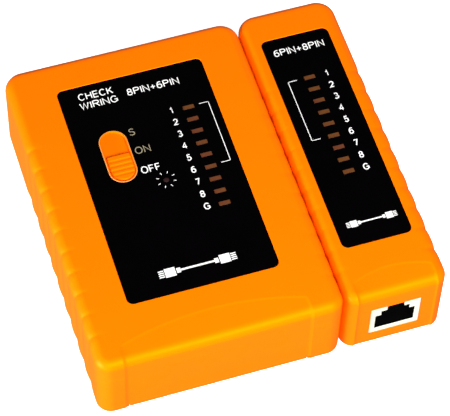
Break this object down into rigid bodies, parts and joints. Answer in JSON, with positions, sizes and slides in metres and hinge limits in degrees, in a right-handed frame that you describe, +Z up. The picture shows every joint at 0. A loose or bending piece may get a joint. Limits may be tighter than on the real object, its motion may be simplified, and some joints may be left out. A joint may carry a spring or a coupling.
{
  "type": "network cable tester",
  "caption": "Two-part cable tester: a wide main unit and a narrow remote unit that slides off its side rail, with lamp rows, modular jacks, a slide switch and a battery door.",
  "frame": {"origin": "middle of the footprint of the docked pair, on the surface it rests on", "axes": "+X from the main unit to the remote unit, +Y to the far end, along the rail, +Z up out of the labels"},
  "size_m": [0.108, 0.11, 0.0275],
  "materials": {
    "orange_abs": "satin moulded ABS, very fine grain",
    "label_film": "printed polyester overlay",
    "lamp_lens": "tinted moulded epoxy",
    "circuit_board": "solder mask on glass epoxy",
    "jack_housing": "moulded nylon",
    "contact_gold": "flash gold plate",
    "steel": "zinc plated",
    "chip_black": "moulded epoxy",
    "battery_jacket": "printed jacket",
    "lead_red": "PVC insulation",
    "lead_black": "PVC insulation",
    "capacitor_sleeve": "shrunk sleeve"
  },
  "bodies": {
    "main_unit": {"main_top_case": "orange_abs", "main_bottom_case": "orange_abs", "main_label": "label_film", "main_pcb": "circuit_board", "main_rj45_jack": "jack_housing", "main_rj45_contacts": "contact_gold", "main_rj11_jack": "jack_housing", "main_rj11_contacts": "contact_gold", "switch_body": "steel", "power_led": "lamp_lens", "main_led_1": "lamp_lens", "main_led_2": "lamp_lens", "main_led_3": "lamp_lens", "main_led_4": "lamp_lens", "main_led_5": "lamp_lens", "main_led_6": "lamp_lens", "main_led_7": "lamp_lens", "main_led_8": "lamp_lens", "main_led_g": "lamp_lens", "counter_chip": "chip_black", "timer_chip": "chip_black", "timing_capacitor": "capacitor_sleeve", "battery_9v": "battery_jacket", "battery_clip": "chip_black", "lead_red": "lead_red", "lead_black": "lead_black", "main_case_screw_1": "steel", "main_case_screw_2": "steel", "main_case_screw_3": "steel", "main_case_screw_4": "steel"},
    "remote_unit": {"remote_top_case": "orange_abs", "remote_bottom_case": "orange_abs", "remote_label": "label_film", "remote_pcb": "circuit_board", "remote_rj45_jack": "jack_housing", "remote_rj45_contacts": "contact_gold", "remote_rj11_jack": "jack_housing", "remote_rj11_contacts": "contact_gold", "remote_led_1": "lamp_lens", "remote_led_2": "lamp_lens", "remote_led_3": "lamp_lens", "remote_led_4": "lamp_lens", "remote_led_5": "lamp_lens", "remote_led_6": "lamp_lens", "remote_led_7": "lamp_lens", "remote_led_8": "lamp_lens", "remote_led_g": "lamp_lens", "remote_case_screw_1": "steel", "remote_case_screw_2": "steel"},
    "power_slider": {"switch_knob": "orange_abs"},
    "battery_cover": {"battery_door": "orange_abs"}
  },
  "joints": [
    {"name": "remote_slide", "type": "slide", "parent": "main_unit", "child": "remote_unit", "axis": [0, 1, 0], "range_m": [0, 0.1]},
    {"name": "power_switch", "type": "slide", "parent": "main_unit", "child": "power_slider", "axis": [0, 1, 0], "range_m": [0, 0.0056]},
    {"name": "battery_door_slide", "type": "slide", "parent": "main_unit", "child": "battery_cover", "axis": [0, -1, 0], "range_m": [0, 0.036]}
  ]
}
